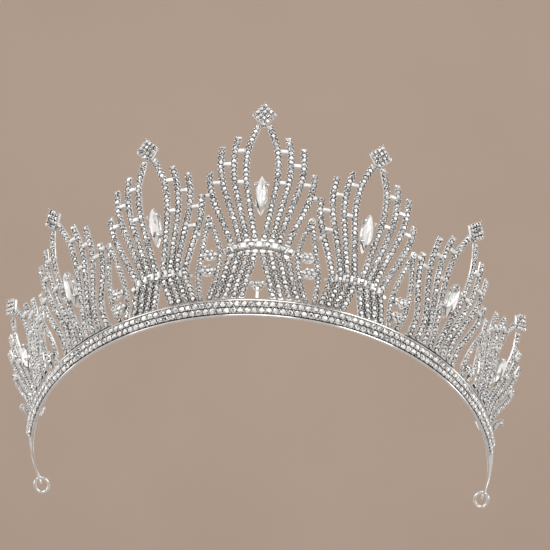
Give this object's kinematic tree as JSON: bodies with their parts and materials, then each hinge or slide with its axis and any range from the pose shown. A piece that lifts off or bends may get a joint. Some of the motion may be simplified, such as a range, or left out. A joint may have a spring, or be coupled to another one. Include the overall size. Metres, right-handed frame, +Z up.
{
  "type": "bridal tiara",
  "caption": "Silver bridal tiara: tall fans of stone-set strands with kite tips and navette crystals on a two-row rhinestone headband, oval rings at its ends",
  "frame": {"origin": "middle of the bounding box, on the plane that the lower edge of the headband rests on", "axes": "+X to the wearer's left along the band, the front of the tiara towards -Y, +Z up"},
  "size_m": [0.176, 0.1342, 0.0631],
  "materials": {
    "polished_silver": "bright silver-coloured plating over cast alloy and strip, polished",
    "set_stones": "clear foil-backed rhinestones in silver-coloured cups",
    "crystal": "clear faceted navette crystal, foil-backed"
  },
  "bodies": {
    "tiara": {"bottom_rail": "polished_silver", "centre_fan": "polished_silver", "centre_finial": "set_stones", "centre_navette": "crystal", "centre_navette_setting": "polished_silver", "end_fan_left": "polished_silver", "end_fan_right": "polished_silver", "end_finial_left": "set_stones", "end_finial_right": "set_stones", "end_navette_left": "crystal", "end_navette_right": "crystal", "end_navette_setting_left": "polished_silver", "end_navette_setting_right": "polished_silver", "headband_strip": "polished_silver", "inner_cluster_lower_left": "set_stones", "inner_cluster_lower_right": "set_stones", "inner_cluster_upper_left": "set_stones", "inner_cluster_upper_right": "set_stones", "inner_loop_left": "polished_silver", "inner_loop_right": "polished_silver", "middle_cluster_lower_left": "set_stones", "middle_cluster_lower_right": "set_stones", "middle_cluster_upper_left": "set_stones", "middle_cluster_upper_right": "set_stones", "middle_loop_left": "polished_silver", "middle_loop_right": "polished_silver", "outer_cluster_upper_left": "set_stones", "outer_cluster_upper_right": "set_stones", "outer_loop_left": "polished_silver", "outer_loop_right": "polished_silver", "pin_eye_left": "polished_silver", "pin_eye_right": "polished_silver", "second_fan_left": "polished_silver", "second_fan_right": "polished_silver", "second_finial_left": "set_stones", "second_finial_right": "set_stones", "second_navette_left": "crystal", "second_navette_right": "crystal", "second_navette_setting_left": "polished_silver", "second_navette_setting_right": "polished_silver", "stone_row_lower": "set_stones", "stone_row_upper": "set_stones", "third_fan_left": "polished_silver", "third_fan_right": "polished_silver", "third_finial_left": "set_stones", "third_finial_right": "set_stones", "third_navette_left": "crystal", "third_navette_right": "crystal", "third_navette_setting_left": "polished_silver", "third_navette_setting_right": "polished_silver", "top_rail": "polished_silver", "trefoil": "set_stones"},
    "left_ring": {"end_ring_left": "polished_silver"},
    "right_ring": {"end_ring_right": "polished_silver"}
  },
  "joints": [
    {"name": "left_ring_swing", "type": "hinge", "parent": "tiara", "child": "left_ring", "pos_m": [-0.07616, 0.05922, 0.00269], "axis": [0.926, -0.1029, 0.3633], "range_deg": [-142, 158]},
    {"name": "right_ring_swing", "type": "hinge", "parent": "tiara", "child": "right_ring", "pos_m": [0.07616, 0.05922, 0.00269], "axis": [0.926, 0.1029, -0.3633], "range_deg": [-142, 158]}
  ]
}
